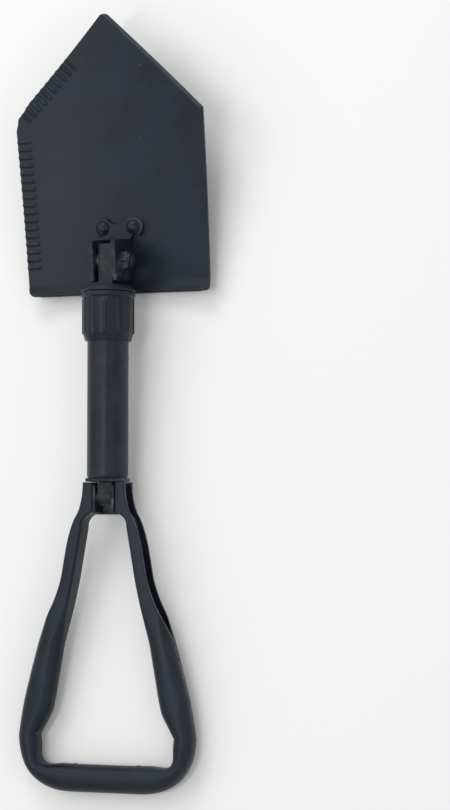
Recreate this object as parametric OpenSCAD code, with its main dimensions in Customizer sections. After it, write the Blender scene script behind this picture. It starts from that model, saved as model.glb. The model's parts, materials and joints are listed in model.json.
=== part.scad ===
// Tri-fold camp shovel: pressed blade, hinge bracket, jack-locked tubular shaft and folding D-handle.
// Millimetres. It lies on its back, blade face up: X across, Y towards the tip, Z up.

/* [Layout] */
// hinge pin to handle pin
pin_span = 182.2; // [160:0.1:200]
// forward pitch of the blade when it is open
blade_pitch = 9; // [0:0.5:14]
// lean of the shaft that brings heel and grip down to the floor
lie_tilt = 3.62; // [0:0.01:8]
// height of the hinge pin above the floor
lie_height = 35.16; // [20:0.01:50]
// hinge pin ahead of the middle of the tool
lie_ahead = 108.21; // [80:0.01:140]

/* [Blade] */
// half width at the shoulders
blade_half_w = 78; // [60:0.5:90]
// half width at the heel
heel_half_w = 75.5; // [55:0.5:90]
// hinge pin to heel edge
heel_reach = 26.5; // [15:0.5:40]
// hinge pin to shoulder
shoulder_reach = 113.5; // [90:0.5:140]
// hinge pin to tip
tip_reach = 193.5; // [150:0.5:230]
// blade face behind the hinge pin
blade_drop = 27; // [20:0.1:35]
// sheet thickness
blade_t = 2.3; // [1:0.1:4]
// radius of the hollow across the blade
dish_across = 342; // [200:1:800]
// radius of the hollow along the blade
dish_along = 1500; // [600:10:4000]
// radius of the rolled heel lip
lip_r = 2.6; // [1:0.1:4]

/* [Bracket] */
// overall width over the ears
bracket_w = 21.4; // [16:0.1:30]
// sheet thickness of the ears and plate
bracket_t = 3; // [2:0.1:4]
// ear height in front of the pin
ear_front = 12.4; // [8:0.1:18]
// ear reach each way along the blade
ear_reach = 16; // [12:0.1:20]
// largest ear radius that swings clear of the thrust ring
ear_swing_r = 19.3; // [16:0.1:24]
// distance between the two rivets
rivet_gap = 25.4; // [18:0.1:32]
// hinge pin to the rivets
rivet_reach = 25; // [18:0.1:34]
// radius of a rivet lobe
lobe_r = 7.9; // [6:0.1:12]

/* [Lock] */
// tube outer radius
tube_r = 15.875; // [12:0.005:20]
// tube wall
tube_wall = 1.6; // [1:0.1:3]
// collar flange radius
flange_r = 21; // [17:0.1:26]
// hinge pin to the top of the thrust ring
ring_start = 19.9; // [17:0.1:26]
// hinge pin to the lower end of the collar
collar_end = 62.2; // [50:0.1:80]
// number of grip ribs
rib_count = 12; // [6:1:24]

/* [Handle] */
// overall depth of the channel
channel_depth = 18.4; // [12:0.1:26]
// sheet thickness
sheet_t = 1.9; // [1:0.1:3]
// handle pin to the yoke end
yoke_reach = 11.2; // [8:0.1:16]
// handle pin to the far side of the grip
grip_reach = 225; // [180:0.5:260]
// grip radius
grip_r = 10; // [8:0.1:15]
// half of the gap between the yoke webs
yoke_gap = 6.8; // [5:0.1:9]

/* [Hidden] */
$fn = 96;
play = 0.05;
plate_top = -blade_drop + 0.75 + bracket_t;
ear_in = bracket_w / 2 - bracket_t;
bolt_r = 4;
spine_w = 12;
spine_t = 6;
eye_r = 7;
head_t = 13;
head_reach = 12.5;
sleeve_r = 17.2;
plate_y = -pin_span + yoke_reach + 0.4;
plate_t = 2.6;
tube_end = plate_y + plate_t + 0.1;
tube_top = -39;
channel_h = channel_depth / 2;

// Lays the whole tool down on heel and grip.
module lie() translate([0, lie_ahead, lie_height]) rotate([lie_tilt, 0, 0]) children();
// The blade frame, pitched forward about the hinge pin.
module pitched() rotate([blade_pitch, 0, 0]) children();
// A cylinder along X between two stations.
module xrod(r, x0, x1) translate([x0, 0, 0]) rotate([0, 90, 0]) cylinder(r = r, h = x1 - x0);
// A cylinder along the shaft, from y0 up to y1.
module yrod(r, y0, y1) translate([0, y0, 0]) rotate([-90, 0, 0]) cylinder(r = r, h = y1 - y0);
// A ring of a radius-and-height profile about the shaft, the profile's Y running towards the tip.
module about_shaft() rotate([-90, 0, 0]) mirror([0, 1, 0]) rotate_extrude() children();

// ---- blade
module blade_outline() {
  polygon([[0, tip_reach - 3.2], [-2.4, tip_reach - 5],
           [-blade_half_w + 5, shoulder_reach + 3], [-blade_half_w + 1, shoulder_reach - 4],
           [-blade_half_w, shoulder_reach - 12], [-heel_half_w, -heel_reach + 6],
           [-heel_half_w + 5, -heel_reach], [heel_half_w - 2.5, -heel_reach],
           [heel_half_w, -heel_reach + 3], [blade_half_w, shoulder_reach],
           [2.4, tip_reach - 5]]);
}

// Solid swept by the blade's cross arc, whose hollow side faces up; grown by g towards the back.
module dish_solid(g) {
  translate([0, 20, dish_along - blade_drop]) rotate([0, 90, 0]) rotate([0, 0, -6])
    rotate_extrude(angle = 18, $fn = 720) intersection() {
      translate([dish_along - dish_across, 0]) circle(r = dish_across + g, $fn = 360);
      translate([dish_along - 60, -100]) square([80, 200]);
    }
}

module dish_sheet() {
  intersection() {
    translate([0, 0, -60]) linear_extrude(80) blade_outline();
    difference() {
      dish_solid(blade_t);
      dish_solid(0);
    }
  }
}

// The heel's rolled lip, an arc with the blade's own hollow.
module heel_lip() {
  span = asin(heel_half_w / dish_across) * 2 - 1.6;
  translate([0, -heel_reach, dish_across - blade_drop + (heel_reach + 20) * (heel_reach + 20) / 2 / dish_along])
    rotate([90, 0, 0]) rotate([0, 0, -90 - span / 2])
      rotate_extrude(angle = span, $fn = 360) translate([dish_across + blade_t / 2, 0]) circle(r = lip_r, $fn = 32);
}

module blade() {
  color([0.16, 0.17, 0.19]) lie() pitched() difference() {
    union() {
      dish_sheet();
      heel_lip();
    }
    for (side = [-1, 1]) translate([side * rivet_gap / 2, rivet_reach, -60]) cylinder(r = 3 + play, h = 60);
  }
}

// ---- hinge bracket
module bracket_plate_outline() {
  half = bracket_w / 2;
  difference() {
    union() {
      translate([-half, -ear_reach]) square([bracket_w, ear_reach + rivet_reach - lobe_r + 3]);
      for (side = [-1, 1]) translate([side * rivet_gap / 2, rivet_reach]) circle(r = lobe_r);
      translate([-rivet_gap / 2, rivet_reach - lobe_r + 1]) square([rivet_gap, lobe_r + 3]);
    }
    translate([0, rivet_reach + 14]) circle(r = 11.4);
    for (side = [-1, 1]) translate([side * (half + 3.4), rivet_reach - lobe_r - 1]) circle(r = 3.4);
  }
}

// Side view of one ear, drawn along the blade (x) and out of it (y).
module ear_outline() {
  intersection() {
    translate([-ear_reach, plate_top - bracket_t]) square([2 * ear_reach, ear_front - plate_top + bracket_t]);
    union() {
      circle(r = ear_swing_r);
      translate([-ear_reach, plate_top - bracket_t]) square([2 * ear_reach, -plate_top + bracket_t]);
    }
  }
}

module hinge_bracket() {
  color([0.15, 0.16, 0.18]) lie() pitched() difference() {
    union() {
      translate([0, 0, plate_top - bracket_t]) linear_extrude(bracket_t) bracket_plate_outline();
      for (side = [-1, 1])
        translate([side * (ear_in + bracket_t / 2) - bracket_t / 2, 0, 0])
          rotate([90, 0, 90]) linear_extrude(bracket_t) ear_outline();
    }
    xrod(bolt_r + play, -20, 20);
    for (side = [-1, 1]) translate([side * rivet_gap / 2, rivet_reach, -60]) cylinder(r = 3 + play, h = 60);
  }
}

module bracket_rivets() {
  back = -blade_drop - blade_t - 0.1;
  color([0.2, 0.21, 0.23]) lie() pitched() for (side = [-1, 1])
    translate([side * rivet_gap / 2, rivet_reach, 0]) {
      translate([0, 0, back - 1.2]) cylinder(r = 3, h = plate_top - back + 2);
      translate([0, 0, back - 1.6]) cylinder(r1 = 4.4, r2 = 5.2, h = 1.6);
      intersection() {
        translate([0, 0, plate_top + 3.6 - 6.7]) sphere(r = 6.7);
        translate([0, 0, plate_top + play]) cylinder(r = 5.8, h = 6);
      }
    }
}

// ---- hinge bolt set
module hinge_bolt() {
  head_x = -bracket_w / 2 - 1.5 - 2 * play;
  color([0.22, 0.23, 0.25]) lie() pitched() {
    xrod(bolt_r, head_x - 1, 20.6);
    intersection() {
      xrod(6.6, head_x - 5.2, head_x);
      translate([head_x + 2.2, 0, 0]) sphere(r = 7.4);
    }
  }
}

module washer(x, outer) {
  difference() {
    xrod(outer, x, x + 1.5);
    xrod(bolt_r + play, x - 1, x + 3);
  }
}
module hinge_head_washer() {
  color([0.2, 0.21, 0.23]) lie() pitched() washer(-bracket_w / 2 - 1.5 - play, 7.2);
}
module hinge_washer() {
  color([0.2, 0.21, 0.23]) lie() pitched() washer(bracket_w / 2 + play, 7.4);
}

module hinge_nut() {
  x0 = bracket_w / 2 + 1.5 + 2 * play;
  color([0.22, 0.23, 0.25]) lie() pitched() difference() {
    union() {
      translate([x0, 0, 0]) rotate([0, 90, 0]) linear_extrude(5.4) circle(r = 7.4, $fn = 6);
      xrod(6.2, x0 + 5, x0 + 7.2);
    }
    xrod(bolt_r + play, x0 - 1, x0 + 9);
    xrod(5.2, x0 + 4.6, x0 + 6.6);
  }
}

module nut_insert() {
  x0 = bracket_w / 2 + 1.5 + 2 * play;
  color([0.35, 0.36, 0.38]) lie() pitched() difference() {
    xrod(5.15, x0 + 4.65, x0 + 6.55);
    xrod(bolt_r + 0.02, x0, x0 + 9);
  }
}

module hinge_spacers() {
  color([0.3, 0.31, 0.33]) lie() pitched() for (side = [0, 1]) mirror([side, 0, 0]) difference() {
    xrod(6, spine_w / 2 + play, ear_in - play);
    xrod(bolt_r + play, 4, 14);
  }
}

// ---- spine
module spine_bar() {
  color([0.24, 0.25, 0.27]) lie() difference() {
    union() {
      translate([-spine_w / 2, -pin_span, -spine_t / 2]) cube([spine_w, pin_span, spine_t]);
      translate([-spine_w / 2, -22, -head_t / 2]) cube([spine_w, 22 + head_reach, head_t]);
      translate([0, -pin_span, 0]) xrod(eye_r, -spine_w / 2, spine_w / 2);
    }
    xrod(bolt_r + play, -10, 10);
    translate([0, -pin_span, 0]) xrod(bolt_r + play, -10, 10);
  }
}

// ---- jack lock
module shaft_tube() {
  inner = tube_r - tube_wall;
  color([0.15, 0.16, 0.18]) lie() about_shaft() polygon([
    [inner, tube_top], [tube_r, tube_top], [tube_r, tube_end + 1.6], [tube_r - 0.9, tube_end],
    [inner, tube_end]]);
}

module thread_sleeve() {
  turns = 6;
  pitch = 2.4;
  color([0.3, 0.31, 0.33]) lie() about_shaft() polygon(concat(
    [[tube_r + play, tube_top], [tube_r + play, tube_top - turns * pitch - 0.6],
     [sleeve_r - 0.6, tube_top - turns * pitch - 0.6]],
    [for (i = [turns - 1 : -1 : 0], s = [[-0.5, 0], [0, 0.5], [-0.5, 1]])
      [sleeve_r + s[0] - 0.1, tube_top - (i + 1) * pitch + s[1] * pitch]]));
}

module lock_collar() {
  top = -ring_start - 5.1;
  rib_top = -30.6;
  rib_end = -56;
  color([0.17, 0.18, 0.2]) lie() {
    about_shaft() polygon([
      [sleeve_r + 0.3, top], [flange_r - 0.7, top], [flange_r, top - 0.7], [flange_r, top - 3],
      [flange_r - 1.3, top - 4.2], [19.4, rib_top + 1], [19.4, rib_end - 1], [18.9, rib_end - 2.2],
      [17.7, -collar_end], [tube_r + 0.25, -collar_end], [tube_r + 0.25, -57.5], [sleeve_r + 0.3, -56.5]]);
    for (i = [0 : rib_count - 1]) rotate([0, 360 / rib_count * (i + 0.5), 0]) translate([0, 0, 18.8]) {
      translate([0, rib_end, 0]) sphere(r = 1.5, $fn = 24);
      translate([0, rib_top, 0]) sphere(r = 1.5, $fn = 24);
      translate([0, rib_end, 0]) rotate([-90, 0, 0]) cylinder(r = 1.5, h = rib_top - rib_end, $fn = 24);
    }
  }
}

module collar_thrust_ring() {
  y0 = -ring_start;
  color([0.2, 0.21, 0.23]) lie() about_shaft() polygon([
    [12, y0 - 4.9], [flange_r - 0.4, y0 - 4.9], [flange_r, y0 - 4.3], [flange_r, y0 - 3.4],
    [19.2, y0 - 0.8], [18.2, y0], [12, y0]]);
}

module lock_plate() {
  color([0.18, 0.19, 0.21]) lie() difference() {
    translate([-14.6, plate_y, -9.6]) cube([29.2, plate_t, 19.2]);
    translate([-spine_w / 2 - 0.4, plate_y - 1, -spine_t / 2 - 0.4])
      cube([spine_w + 0.8, plate_t + 2, spine_t + 0.8]);
  }
}

// ---- handle: distance d runs from the handle pin towards the grip
grip_d = grip_reach - grip_r;
bend_r = 37;
bend_x = 24.6;
bend_d = grip_d - bend_r;
arm_lean = 11;
// Outer and inner half widths of the upper arms, as [d, outer, inner].
arm_stations = [[-3, 17.6, yoke_gap], [11.5, 20.5, yoke_gap], [15.8, 23.4, 16.6], [32, 29.4, 20.6],
                [63, 35.8, 26], [79, 40.8, 29.4], [96, 48.4, 33.2], [112, 54.4, 36.4]];

module band(o, i) {
  n = len(arm_stations) - 1;
  polygon(concat([for (k = [0 : n]) [arm_stations[k][1] + o, -arm_stations[k][0]]],
                 [for (k = [n : -1 : 0]) [arm_stations[k][2] + i, -arm_stations[k][0]]]));
}

// Yoke side view, along the shaft (x) and out of it (y): its front corner is cut to swing past the plate.
module yoke_side(h) {
  polygon([[yoke_reach, -h], [yoke_reach, 4], [9.8, 7], [8.5, h], [-11.6, h], [-11.6, -h]]);
}

// One side's sheet in the upper arm: inner web with a flange at the front and back.
module upper_arm() {
  difference() {
    translate([0, 0, -channel_h]) linear_extrude(channel_depth) band(0, 0);
    translate([0, 0, -channel_h + sheet_t]) linear_extrude(channel_depth - 2 * sheet_t) band(8, sheet_t);
  }
}

// Lower arm, corner and half of the grip as a round tube; g shrinks it for the inside.
module round_run(g) {
  r = grip_r - g;
  translate([0, -grip_d, 0]) rotate([0, 90, 0]) cylinder(r = r, h = bend_x);
  translate([bend_x, -bend_d, 0]) rotate([0, 0, -90]) rotate_extrude(angle = 90 + arm_lean)
    translate([bend_r, 0]) circle(r = r);
  translate([bend_x, -bend_d, 0]) rotate([0, 0, arm_lean]) translate([bend_r, 0, 0])
    rotate([-90, 0, 0]) cylinder(r1 = r, r2 = 8.6 - g, h = 86);
}

module yoke_flange(end) polygon([[yoke_gap, 3], [17.6, 3], [17.3, end], [yoke_gap, end]]);

module handle_side() {
  difference() {
    union() {
      upper_arm();
      difference() {
        round_run(0);
        round_run(sheet_t);
      }
      for (z = [-1, 1]) translate([0, 0, z * (channel_h - sheet_t / 2) - sheet_t / 2])
        linear_extrude(sheet_t) yoke_flange(z > 0 ? 8.5 : yoke_reach);
      translate([yoke_gap, 0, 0]) rotate([90, 0, 90]) linear_extrude(sheet_t) yoke_side(channel_h);
    }
    translate([0, 0, -2.2]) linear_extrude(4.4)
      polygon([[52, -118], [80, -118], [90, -178], [64, -178]]);
  }
}

module handle_frame() {
  color([0.15, 0.16, 0.18]) lie() translate([0, -pin_span, 0]) difference() {
    union() {
      for (side = [0, 1]) mirror([side, 0, 0]) handle_side();
      translate([-yoke_gap - 1, -11.6, -channel_h]) cube([2 * yoke_gap + 2, 11.6 + yoke_reach, sheet_t]);
    }
    xrod(bolt_r + play, -20, 20);
  }
}

module handle_rivet() {
  out = yoke_gap + sheet_t + play;
  color([0.22, 0.23, 0.25]) lie() translate([0, -pin_span, 0]) rotate([0, 90, 0]) rotate_extrude() {
    translate([0, -out - 1]) square([bolt_r, 2 * out + 2]);
    for (side = [0, 1]) mirror([0, side]) intersection() {
      translate([0, out]) square([6, 4]);
      translate([0, out + 3.2 - 8.4]) circle(r = 8.4);
    }
  }
}

module handle_rivet_washers() {
  color([0.3, 0.31, 0.33]) lie() translate([0, -pin_span, 0]) for (side = [0, 1]) mirror([side, 0, 0])
    difference() {
      xrod(6, spine_w / 2 + play, yoke_gap - play);
      xrod(bolt_r + play, 4, 10);
    }
}

blade();
hinge_bracket();
bracket_rivets();
hinge_bolt();
hinge_head_washer();
hinge_washer();
hinge_nut();
nut_insert();
hinge_spacers();
spine_bar();
shaft_tube();
thread_sleeve();
lock_collar();
collar_thrust_ring();
lock_plate();
handle_frame();
handle_rivet();
handle_rivet_washers();
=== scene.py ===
"""Looks of the folding camp shovel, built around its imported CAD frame. Metres, in the CAD row's frame."""
import json
import math

import bmesh
import bpy
from mathutils import Matrix, Vector


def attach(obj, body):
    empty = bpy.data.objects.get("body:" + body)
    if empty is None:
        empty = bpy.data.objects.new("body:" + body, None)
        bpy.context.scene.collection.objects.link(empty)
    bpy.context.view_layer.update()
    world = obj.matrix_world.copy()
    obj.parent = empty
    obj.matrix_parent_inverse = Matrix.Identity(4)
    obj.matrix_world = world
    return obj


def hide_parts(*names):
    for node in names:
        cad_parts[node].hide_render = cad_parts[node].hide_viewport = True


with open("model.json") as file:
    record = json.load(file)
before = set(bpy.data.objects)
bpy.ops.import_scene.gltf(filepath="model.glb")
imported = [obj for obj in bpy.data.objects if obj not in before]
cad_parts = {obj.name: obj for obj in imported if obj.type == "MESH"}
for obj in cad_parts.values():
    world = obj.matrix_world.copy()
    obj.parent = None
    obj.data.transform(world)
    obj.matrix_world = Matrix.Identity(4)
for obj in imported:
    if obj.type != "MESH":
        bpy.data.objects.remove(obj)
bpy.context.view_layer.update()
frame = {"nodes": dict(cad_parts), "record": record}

MM = 0.001
# Lengths below are in mm. The shaft frame has its origin at the hinge pin, Y towards the tip and Z to the front.
LIE_TILT = math.radians(3.62)
LIE_HEIGHT = 35.16
LIE_AHEAD = 108.21
BLADE_PITCH = math.radians(9)
PIN_SPAN = 182.2
BLADE_DROP = 27
BLADE_T = 2.3
DISH_ACROSS = 342
DISH_ALONG = 1500
DISH_MID = 20
HEEL = -26.5
SHOULDER = 113.5
TIP = 190.2
HEEL_HALF = 75.5
SHOULDER_HALF = 78
LEFT_CORNER = 6
RIGHT_CORNER = 3
SHOULDER_CUT = 2.2
SHOULDER_CUT_REACH = 11
TIP_ROUND = 5
# where the straight point edges would meet without the round
SHARP_TIP = TIP + 0.4 * TIP_ROUND
GRIND_WIDTH = 2.6
GRIND_DEPTH = 1.5
HEEL_ROLL = 3.2
HEEL_ROLL_REACH = 11
LIP_R = 1.7
LIP_INSET = 1.2
LIP_RISE = 2.6

# Pressed ribs: pitch, length and height, then where each row starts and how long it runs.
RIB_PITCH = 6.2
RIB_LENGTH = 11.5
RIB_HEIGHT = 1.0
SIDE_RIBS_FROM = -5
SIDE_RIBS_RUN = 102
POINT_RIBS_FROM = 5
POINT_RIBS_RUN = 58

# Handle channel.
CHANNEL_H = 9.2
SHEET = 1.9
GRIP_D = 215
GRIP_OUT = 9.6
GRIP_IN = 11.4
GRIP_H = 9.9
ARM_TOP = -11.1
ARM_END = 182
CORNER_X = 25.4
CORNER_D = 178.6
CORNER_R = 46.0
CORNER_SQUARENESS = 0.82

LIE = Matrix.Translation((0, LIE_AHEAD, LIE_HEIGHT)) @ Matrix.Rotation(LIE_TILT, 4, "X")
PITCHED = LIE @ Matrix.Rotation(BLADE_PITCH, 4, "X")
HANDLE = LIE @ Matrix.Translation((0, -PIN_SPAN, 0))


def clamp(v, lo=0.0, hi=1.0):
    return max(lo, min(hi, v))


def smooth(a, b, v):
    t = clamp((v - a) / (b - a))
    return t * t * (3 - 2 * t)


def lerp(a, b, t):
    return a + (b - a) * t


# ---------------------------------------------------------------- materials
def coat(name, base, rough=0.42, wear=0.5, grain=900, bump=0.12, metallic=0.0, spec=0.27):
    """Powder coat: fine orange peel, blotchy tone, dust specks and rubbed edges where bare steel shows."""
    m = bpy.data.materials.new(name)
    m.use_nodes = True
    nt = m.node_tree
    bsdf = nt.nodes["Principled BSDF"]
    link = nt.links.new

    def node(kind, **inputs):
        n = nt.nodes.new(kind)
        for k, v in inputs.items():
            n.inputs[k.replace("_", " ")].default_value = v
        return n

    def ramp(fac, stops):
        r = nt.nodes.new("ShaderNodeValToRGB")
        while len(r.color_ramp.elements) < len(stops):
            r.color_ramp.elements.new(0.5)
        for e, (p, c) in zip(r.color_ramp.elements, stops):
            e.position = p
            e.color = (*c, 1) if not isinstance(c, float) else (c, c, c, 1)
        link(fac, r.inputs[0])
        return r.outputs[0]

    def mix(fac, a, b, kind="MIX"):
        x = nt.nodes.new("ShaderNodeMix")
        x.data_type = "RGBA"
        x.blend_type = kind
        for socket, v in ((x.inputs[0], fac), (x.inputs[6], a), (x.inputs[7], b)):
            if hasattr(v, "is_linked"):
                link(v, socket)
            elif isinstance(v, tuple):
                socket.default_value = (*v, 1)
            else:
                socket.default_value = v
        return x.outputs[2]

    co = nt.nodes.new("ShaderNodeTexCoord").outputs["Object"]
    peel = node("ShaderNodeTexNoise", Scale=grain, Detail=3.0, Roughness=0.55)
    blotch = node("ShaderNodeTexNoise", Scale=26.0, Detail=5.0, Roughness=0.6)
    specks = node("ShaderNodeTexNoise", Scale=420.0, Detail=1.0, Roughness=0.4)
    streak = node("ShaderNodeTexNoise", Scale=60.0, Detail=6.0, Roughness=0.7)
    for n in (peel, blotch, specks, streak):
        link(co, n.inputs["Vector"])
    low = tuple(c * 0.72 for c in base)
    high = tuple(min(1, c * 1.32 + 0.004) for c in base)
    tone = ramp(blotch.outputs[0], [(0.3, low), (0.7, high)])
    geo = nt.nodes.new("ShaderNodeNewGeometry")
    edge = ramp(geo.outputs["Pointiness"], [(0.515, 0.0), (0.56, 1.0)])
    rub = nt.nodes.new("ShaderNodeMath")
    rub.operation = "MULTIPLY"
    link(edge, rub.inputs[0])
    link(ramp(streak.outputs[0], [(0.5, 0.0), (0.68, 1.0)]), rub.inputs[1])
    rubbed = nt.nodes.new("ShaderNodeMath")
    rubbed.operation = "MULTIPLY"
    link(rub.outputs[0], rubbed.inputs[0])
    rubbed.inputs[1].default_value = wear
    col = mix(rubbed.outputs[0], tone, (0.3, 0.31, 0.33))
    dust = ramp(specks.outputs[0], [(0.79, 0.0), (0.82, 1.0)])
    col = mix(dust, col, tuple(c * 2 + 0.03 for c in base))
    link(col, bsdf.inputs["Base Color"])
    rr = ramp(blotch.outputs[0], [(0.25, rough - 0.07), (0.75, rough + 0.08)])
    link(rr, bsdf.inputs["Roughness"])
    bsdf.inputs["Metallic"].default_value = metallic
    bsdf.inputs["Specular IOR Level"].default_value = spec
    bn = nt.nodes.new("ShaderNodeBump")
    bn.inputs["Strength"].default_value = bump
    bn.inputs["Distance"].default_value = 0.0004
    link(peel.outputs[0], bn.inputs["Height"])
    link(bn.outputs[0], bsdf.inputs["Normal"])
    return m


BLACK = (0.0075, 0.0125, 0.0235)
mat_blade = coat("blade_coat", BLACK, rough=0.43, wear=0.3)
mat_edge = coat("ground_edge", (0.06, 0.068, 0.08), rough=0.34, wear=0.3, metallic=0.5)
mat_bracket = coat("bracket_coat", BLACK, rough=0.40, wear=0.6)
mat_fastener = coat("fastener_coat", (0.008, 0.013, 0.023), rough=0.36, wear=0.5, grain=600)
mat_spine = coat("spine_steel", (0.007, 0.011, 0.019), rough=0.42, wear=0.2)
mat_tube = coat("tube_coat", BLACK, rough=0.38, wear=0.08)
mat_collar = coat("collar_alloy", (0.006, 0.010, 0.018), rough=0.38, wear=0.5, grain=1200, bump=0.2)
mat_handle = coat("handle_coat", BLACK, rough=0.42, wear=0.5)
mat_nylon = coat("nylon", (0.25, 0.26, 0.28), rough=0.5, wear=0.0)
mat_bare = coat("bare_steel", (0.2, 0.205, 0.215), rough=0.35, wear=0.2, metallic=0.8)


# ---------------------------------------------------------------- mesh helpers
def mesh_object(name, verts, faces, mats, place, flat_deg=35):
    me = bpy.data.meshes.new(name)
    me.from_pydata([place @ Vector(v) for v in verts], [], faces)
    for v in me.vertices:
        v.co *= MM
    me.validate()
    bm = bmesh.new()
    bm.from_mesh(me)
    bmesh.ops.remove_doubles(bm, verts=bm.verts, dist=1e-6)
    bmesh.ops.recalc_face_normals(bm, faces=bm.faces)
    bm.to_mesh(me)
    bm.free()
    o = bpy.data.objects.new(name, me)
    bpy.context.collection.objects.link(o)
    for m in mats:
        me.materials.append(m)
    me.shade_smooth()
    me.set_sharp_from_angle(angle=math.radians(flat_deg))
    return o


def bevel(o, width, segments=3, angle=30):
    b = o.modifiers.new("edges", "BEVEL")
    b.width = width * MM
    b.segments = segments
    b.limit_method = "ANGLE"
    b.angle_limit = math.radians(angle)
    b.harden_normals = False


# ---------------------------------------------------------------- blade
def half_width(s, side):
    """Half width of the blade at s from the hinge pin; side -1 is left, +1 right."""
    if s <= SHOULDER:
        w = lerp(HEEL_HALF, SHOULDER_HALF, (s - HEEL) / (SHOULDER - HEEL))
    else:
        w = SHOULDER_HALF * (SHARP_TIP - s) / (SHARP_TIP - SHOULDER)
        if s > TIP - TIP_ROUND * 0.29:
            # from where the round meets the straight edges
            w = math.sqrt(max(0.0, TIP_ROUND ** 2 - (s - TIP + TIP_ROUND) ** 2))
    if side < 0:
        # the left shoulder is rounded off
        w -= SHOULDER_CUT * max(0.0, 1 - ((s - SHOULDER - 1) / SHOULDER_CUT_REACH) ** 2) ** 1.5
    corner = LEFT_CORNER if side < 0 else RIGHT_CORNER
    if s < HEEL + corner:
        t = (HEEL + corner - s) / corner
        w -= corner * (1 - math.sqrt(max(0, 1 - t * t)))
    return max(w, 0.0)


def dish_z(x, s):
    """Height of the hollow face over the blade's own base plane."""
    across = DISH_ACROSS - math.sqrt(DISH_ACROSS ** 2 - x * x)
    along = (s - DISH_MID) ** 2 / (2 * DISH_ALONG)
    return -BLADE_DROP + across + along


def edge_ribs(x, s, w):
    """Pressed ribs square to the left side and to the left point edge."""
    if x > 0:
        return 0.0
    if s < SHOULDER - 8:
        depth, run, length = w + x, s - SIDE_RIBS_FROM, SIDE_RIBS_RUN
    else:
        size = math.hypot(SHOULDER_HALF, TIP - SHOULDER)
        ex, es = SHOULDER_HALF / size, (TIP - SHOULDER) / size
        depth = (x + SHOULDER_HALF) * es - (s - SHOULDER) * ex
        run = (x + SHOULDER_HALF) * ex + (s - SHOULDER) * es - POINT_RIBS_FROM
        length = POINT_RIBS_RUN
    if run < 0 or run > length:
        return 0.0
    wave = max(0.0, math.sin(run / RIB_PITCH * 2 * math.pi)) ** 0.7
    ends = smooth(0, 1.5, run) * (1 - smooth(length - 1.5, length, run))
    return RIB_HEIGHT * wave * (1 - smooth(RIB_LENGTH - 3, RIB_LENGTH, depth)) * ends


def from_point_edge(inset):
    """Distance square in from the right point edge, for a point that lies inset from it along X."""
    return inset * (TIP - SHOULDER) / math.hypot(SHOULDER_HALF, TIP - SHOULDER)


def build_blade():
    """The pressed sheet: front and back surfaces on one grid, joined round the rim."""
    rows, cols = 420, 190
    verts, faces, mats_of = [], [], []
    n = cols + 1
    for layer in (0, 1):
        for r in range(rows + 1):
            s = HEEL + (TIP - HEEL) * r / rows
            wl, wr = half_width(s, -1), half_width(s, 1)
            for c in range(n):
                u = c / cols
                x = lerp(-wl, wr, u)
                z = dish_z(x, s) + edge_ribs(x, s, wl)
                # ground bevel along the right point edge
                if layer == 0 and s > SHOULDER - 1:
                    z -= GRIND_DEPTH * clamp(1 - from_point_edge(wr - x) / GRIND_WIDTH)
                # the heel rolls down into its lip
                z += HEEL_ROLL * clamp(1 - (s - HEEL) / HEEL_ROLL_REACH) ** 2
                if layer == 1:
                    z -= BLADE_T if s < SHOULDER else BLADE_T * lerp(1, 0.8, clamp((s - SHOULDER) / 70))
                verts.append((x, s, z))
    base = (rows + 1) * n
    for r in range(rows):
        s = HEEL + (TIP - HEEL) * (r + 0.5) / rows
        wr = half_width(s, 1)
        wl = half_width(s, -1)
        for c in range(cols):
            a = r * n + c
            faces.append((a, a + 1, a + n + 1, a + n))
            x = lerp(-wl, wr, (c + 0.5) / cols)
            mats_of.append(1 if s > SHOULDER and from_point_edge(wr - x) < GRIND_WIDTH else 0)
            b = base + a
            faces.append((b, b + n, b + n + 1, b + 1))
            mats_of.append(0)
    for r in range(rows):
        for c in (0, cols):
            a = r * n + c
            faces.append((a, a + n, base + a + n, base + a))
            s = HEEL + (TIP - HEEL) * (r + 0.5) / rows
            mats_of.append(1 if c == cols and s > SHOULDER else 0)
    for c in range(cols):
        for r in (0, rows):
            a = r * n + c
            faces.append((a, a + 1, base + a + 1, base + a))
            mats_of.append(0)
    me = bpy.data.meshes.new("blade_sheet")
    me.from_pydata([PITCHED @ Vector(v) * MM for v in verts], [], faces)
    o = bpy.data.objects.new("blade_sheet", me)
    bpy.context.collection.objects.link(o)
    me.materials.append(mat_blade)
    me.materials.append(mat_edge)
    me.polygons.foreach_set("material_index", mats_of)
    me.shade_smooth()
    me.set_sharp_from_angle(angle=math.radians(42))
    return o


def build_lip():
    """Rolled heel edge: a round bead along the heel that fades out in the corners."""
    steps, ring = 120, 20
    verts, faces = [], []
    for i in range(steps + 1):
        u = i / steps
        x = lerp(-HEEL_HALF + 6.5, HEEL_HALF - 3.5, u)
        end = min(u, 1 - u) * steps / 5
        r = LIP_R * math.sqrt(clamp(1 - (1 - clamp(end)) ** 2)) + 0.05
        z = dish_z(x, HEEL) - BLADE_T / 2 + LIP_RISE
        for k in range(ring):
            a = 2 * math.pi * k / ring
            verts.append((x, HEEL + LIP_INSET + r * math.cos(a), z + r * math.sin(a)))
    for i in range(steps):
        for k in range(ring):
            a = i * ring + k
            b = i * ring + (k + 1) % ring
            faces.append((a, b, b + ring, a + ring))
    faces.append(tuple(range(ring)))
    faces.append(tuple(range(steps * ring, (steps + 1) * ring)))
    return mesh_object("blade_heel_lip", verts, faces, [mat_blade], PITCHED)


blade = build_blade()
lip = build_lip()
for piece in (blade, lip):
    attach(piece, "blade_set")
    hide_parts("blade")


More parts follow.
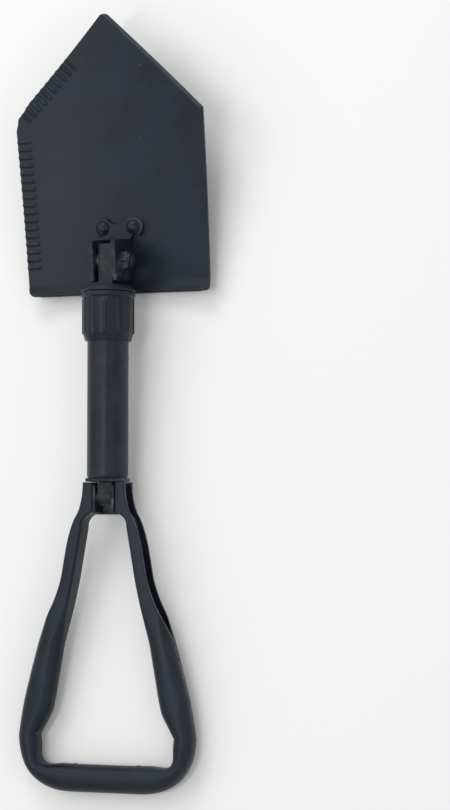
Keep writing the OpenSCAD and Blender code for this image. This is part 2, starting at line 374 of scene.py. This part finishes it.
# ---------------------------------------------------------------- handle
# Half widths of the D-handle as (d, half width), d from the handle pin towards the grip.
ARM_OUTER = [(-11, 17.0), (-2, 17.6), (6, 19.2), (12, 21.2), (18, 24.6), (33, 29.5), (48, 32.4), (64, 35.4),
             (79, 40.6), (94, 48.0), (109, 54.6), (125, 59.3), (140, 63.3), (155, 67.0), (170, 69.8), (182, 71.4)]
# The short step at 10.5 to 11.5 keeps the curve from overshooting into the spine.
ARM_INNER = [(-11, 8.7), (10.5, 8.7), (11.5, 8.8), (13, 12.0), (17, 16.8), (25, 18.6), (33, 20.0), (48, 22.6),
             (64, 25.4), (79, 28.6), (94, 31.8), (109, 34.8), (125, 37.6), (140, 40.3), (155, 43.0), (165, 45.6),
             (173, 50.0), (182, 55.6)]


def curve(pts, v):
    """Smooth curve through a few given points. It can overshoot beside a long flat run."""
    if v <= pts[0][0]:
        return pts[0][1]
    for i in range(len(pts) - 1):
        (x0, y0), (x1, y1) = pts[i], pts[i + 1]
        if v <= x1:
            m = (y1 - y0) / (x1 - x0)
            before = (y0 - pts[i - 1][1]) / (x0 - pts[i - 1][0]) if i else m
            after = (pts[i + 2][1] - y1) / (pts[i + 2][0] - x1) if i + 2 < len(pts) else m
            s0, s1 = (before + m) / 2, (m + after) / 2
            h = x1 - x0
            t = (v - x0) / h
            return (y0 * (1 + 2 * t) * (1 - t) ** 2 + s0 * h * t * (1 - t) ** 2
                    + y1 * t * t * (3 - 2 * t) + s1 * h * t * t * (t - 1))
    return pts[-1][1]


def handle_path():
    """Stations down the right arm, round the corner and to mid grip: (outer point, inner point, roundness)."""
    out = []
    for i in range(97):
        d = lerp(ARM_TOP, ARM_END, i / 96)
        out.append(((curve(ARM_OUTER, d), d), (curve(ARM_INNER, d), d), smooth(70, 118, d)))
    cx, cd = CORNER_X, CORNER_D
    for i in range(1, 73):
        a = math.radians(lerp(4.5, 89.99, i / 72))
        # a squarer corner than a plain arc
        ox = cx + CORNER_R * math.cos(a) ** CORNER_SQUARENESS
        od = cd + CORNER_R * math.sin(a) ** CORNER_SQUARENESS
        # the inside wall runs deep into the corner, then follows the grip
        t = i / 72
        reach = lerp(30.5, 24.4, t) + 8.6 * math.exp(-((t - 0.42) / 0.2) ** 2)
        ix, idd = cx + reach * math.cos(a), cd + reach * math.sin(a)
        out.append(((ox, od), (ix, idd), 1.0))
    for i in range(1, 29):
        x = lerp(CORNER_X, 0, i / 28)
        out.append(((x, GRIP_D + GRIP_OUT), (x, GRIP_D - GRIP_IN), 1.0))
    return out


def section(o, i, roundness):
    """One channel section between an outer and an inner outline point: a list of (x, d, z)."""
    ox, od = o
    ix, idd = i
    wide = math.hypot(ox - ix, od - idd)
    ux, ud = (ox - ix) / wide, (od - idd) / wide
    n_corner, n_lip = 10, 8
    h = lerp(CHANNEL_H, GRIP_H, roundness)
    r_in = lerp(2.6, min(h, wide * 0.48), roundness)
    r_out = lerp(0.9, min(h, wide * 0.5), roundness)
    lip_z = lerp(h - 0.9, 1.5, smooth(0.25, 1.0, roundness))
    # outside of the sheet, from the top lip round the inner wall to the bottom lip, then back along the inside
    side = []
    # curled outer lip
    for k in range(n_lip + 1):
        a = lerp(0, math.pi / 2, k / n_lip)
        # from the slit (u = wide, z = lip_z) up to the flange (z = h)
        u = wide - r_out + r_out * math.cos(a)
        z = lerp(lip_z, h, math.sin(a))
        side.append((u, z))
    for k in range(n_corner + 1):
        a = math.pi / 2 + math.pi / 2 * k / n_corner
        side.append((r_in + r_in * math.cos(a), h - r_in + r_in * math.sin(a)))
    outer = side + [(u, -z) for u, z in reversed(side)]
    inner = []
    for u, z in outer:
        cu = wide * 0.5
        du = u - cu
        su = max(0.05, (abs(du) - SHEET)) / max(abs(du), 1e-6) if abs(du) > 0.1 else 1
        sz = max(0.02, (abs(z) - SHEET)) / max(abs(z), 1e-6) if abs(z) > 0.1 else 1
        inner.append((cu + du * su if du < 0 else u, z * sz))
    return [(ix + ux * u, idd + ud * u, z) for u, z in outer + list(reversed(inner))]


def build_handle():
    """Right half from the stations, left half mirrored, with the two arm tops closed."""
    path = handle_path()
    half = [section(*st) for st in path]
    left = [[(-x, d, z) for x, d, z in sec] for sec in reversed(half[:-1])]
    secs = half + left
    m = len(secs[0])
    verts = [(x, -d, z) for sec in secs for x, d, z in sec]
    faces = []
    for i in range(len(secs) - 1):
        for k in range(m):
            a, b = i * m + k, i * m + (k + 1) % m
            faces.append((a, b, b + m, a + m))
    half_m = m // 2
    for end in (0, (len(secs) - 1) * m):
        for k in range(half_m - 1):
            faces.append((end + k, end + k + 1, end + m - 2 - k, end + m - 1 - k))
    return mesh_object("handle_channel", verts, faces, [mat_handle], HANDLE, flat_deg=50)


def prism_x(name, outline, x0, x1, mats, place, width=0.35):
    """A plate drawn as (y, z) and extruded between two X stations."""
    n = len(outline)
    verts = [(x0, y, z) for y, z in outline] + [(x1, y, z) for y, z in outline]
    faces = [tuple(range(n)), tuple(range(2 * n - 1, n - 1, -1))]
    faces += [(i, (i + 1) % n, n + (i + 1) % n, n + i) for i in range(n)]
    o = mesh_object(name, verts, faces, mats, place)
    bevel(o, width)
    return o


handle = build_handle()
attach(handle, "handle")
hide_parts("handle_frame")

web_side = [(11.2, -9.1), (11.2, 4), (10.6, 5.8), (9.8, 7), (8.6, 9.1), (-12.5, 9.1), (-12.5, -9.1)]
for side, tag in ((-1, "left"), (1, "right")):
    web = prism_x("yoke_web_" + tag, web_side, side * 6.8, side * 8.7, [mat_handle], HANDLE)
    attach(web, "handle")
    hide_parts("handle_frame")
back_side = [(11.2, -9.2), (11.2, -7.4), (-13.4, -7.4), (-13.4, -9.2)]
back = prism_x("yoke_back_wall", back_side, -17.2, 17.2, [mat_handle], HANDLE)
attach(back, "handle")
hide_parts("handle_frame")

# flat cheek in front of the spine's lower eye and the rivet; its round end clears the yoke's back wall in the fold
cheek_side = [(11.0, 4.2), (11.0, 6.4)]
for i in range(25):
    a = math.radians(lerp(66, 37, i / 24))
    cheek_side.append((-7.0 * math.cos(a), 7.0 * math.sin(a)))
cheek = prism_x("spine_cheek", cheek_side, -5.9, 5.9, [mat_spine], HANDLE)
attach(cheek, "spine")
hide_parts("spine_bar")

# ---------------------------------------------------------------- CAD pieces that keep their shape
LOOKS = {
    "hinge_bracket": (mat_bracket, 0.5), "bracket_rivets": (mat_fastener, 0.15), "hinge_bolt": (mat_fastener, 0.25),
    "hinge_head_washer": (mat_fastener, 0.2), "hinge_washer": (mat_fastener, 0.2), "hinge_nut": (mat_fastener, 0.35),
    "nut_insert": (mat_nylon, 0.1), "hinge_spacers": (mat_bare, 0.1), "spine_bar": (mat_spine, 0.5),
    "shaft_tube": (mat_tube, 0.3), "thread_sleeve": (mat_bare, 0.1), "lock_collar": (mat_collar, 0.25),
    "collar_thrust_ring": (mat_collar, 0.3), "lock_plate": (mat_fastener, 0.4), "handle_rivet": (mat_fastener, 0.2),
    "handle_rivet_washers": (mat_bare, 0.1)}
bodies = frame["record"]["behaviour"]["bodies"]
for name, (mat, width) in LOOKS.items():
    # a softened copy stands for the CAD piece: rounded edges catch the light as formed metal does
    src = frame["nodes"][name]
    me = src.data.copy()
    o = bpy.data.objects.new(name + "_look", me)
    o.matrix_world = src.matrix_world.copy()
    bpy.context.collection.objects.link(o)
    bm = bmesh.new()
    bm.from_mesh(me)
    bmesh.ops.remove_doubles(bm, verts=bm.verts, dist=2e-6)
    bmesh.ops.dissolve_limit(bm, angle_limit=math.radians(0.4), verts=bm.verts, edges=bm.edges)
    bm.to_mesh(me)
    bm.free()
    me.materials.clear()
    me.materials.append(mat)
    me.shade_smooth()
    me.set_sharp_from_angle(angle=math.radians(32))
    bevel(o, width, segments=3, angle=32)
    body = next(b for b, nodes in bodies.items() if name in nodes)
    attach(o, body)
    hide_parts(name)

# ---------------------------------------------------------------- floor, light, camera
floor_mat = bpy.data.materials.new("floor_white")
floor_mat.use_nodes = True
fb = floor_mat.node_tree.nodes["Principled BSDF"]
fb.inputs["Base Color"].default_value = (0.96, 0.96, 0.96, 1)
fb.inputs["Roughness"].default_value = 0.9
fb.inputs["Specular IOR Level"].default_value = 0.1
bpy.ops.mesh.primitive_plane_add(size=8, location=(0, 0, -0.0005))
floor = bpy.context.object
floor.name = "floor"
floor.data.materials.append(floor_mat)

world = bpy.data.worlds.new("studio")
bpy.context.scene.world = world
world.use_nodes = True
world.node_tree.nodes["Background"].inputs[0].default_value = (1, 1, 1, 1)
world.node_tree.nodes["Background"].inputs[1].default_value = 0.56


def area(name, loc, target, size, power):
    light = bpy.data.lights.new(name, "AREA")
    light.shape = "RECTANGLE"
    light.size, light.size_y = size
    light.energy = power
    o = bpy.data.objects.new(name, light)
    o.location = loc
    o.rotation_euler = (Vector(target) - Vector(loc)).to_track_quat("-Z", "Y").to_euler()
    bpy.context.collection.objects.link(o)
    return o


area("key", (-1.1, 0.5, 1.5), (0, 0, 0), (0.9, 1.4), 6)
area("fill", (1.2, -0.4, 1.3), (0, -0.1, 0), (1.0, 1.4), 2)
area("top", (-0.3, 1.5, 1.2), (0, 0.05, 0), (1.0, 0.6), 8)
area("front", (-0.12, -0.25, 1.7), (0, -0.15, 0), (0.16, 0.8), 4.5)

# The camera stands round to the tool's right, over a point a little below the yoke, and is turned a few degrees.
SENSOR = 36
LENS = 168
SHAFT_LEAN = math.radians(22)
VIEW_RANGE = 1613
FOOT_Y = -215.8
PITCH = math.radians(3.7)
YAW = math.radians(3.2)
away = LIE @ Vector((VIEW_RANGE * math.sin(SHAFT_LEAN), FOOT_Y, VIEW_RANGE * math.cos(SHAFT_LEAN)))
look = LIE.to_3x3() @ (Matrix.Rotation(SHAFT_LEAN - YAW, 3, "Y") @ Matrix.Rotation(PITCH, 3, "X"))
cam = bpy.data.cameras.new("camera")
cam.sensor_fit = "HORIZONTAL"
cam.sensor_width = SENSOR
cam.lens = LENS
cam.clip_end = 20
cam_o = bpy.data.objects.new("camera", cam)
cam_o.matrix_world = Matrix.Translation(away * MM) @ look.to_4x4()
bpy.context.collection.objects.link(cam_o)
bpy.context.scene.camera = cam_o

bpy.context.scene.view_settings.view_transform = "Standard"
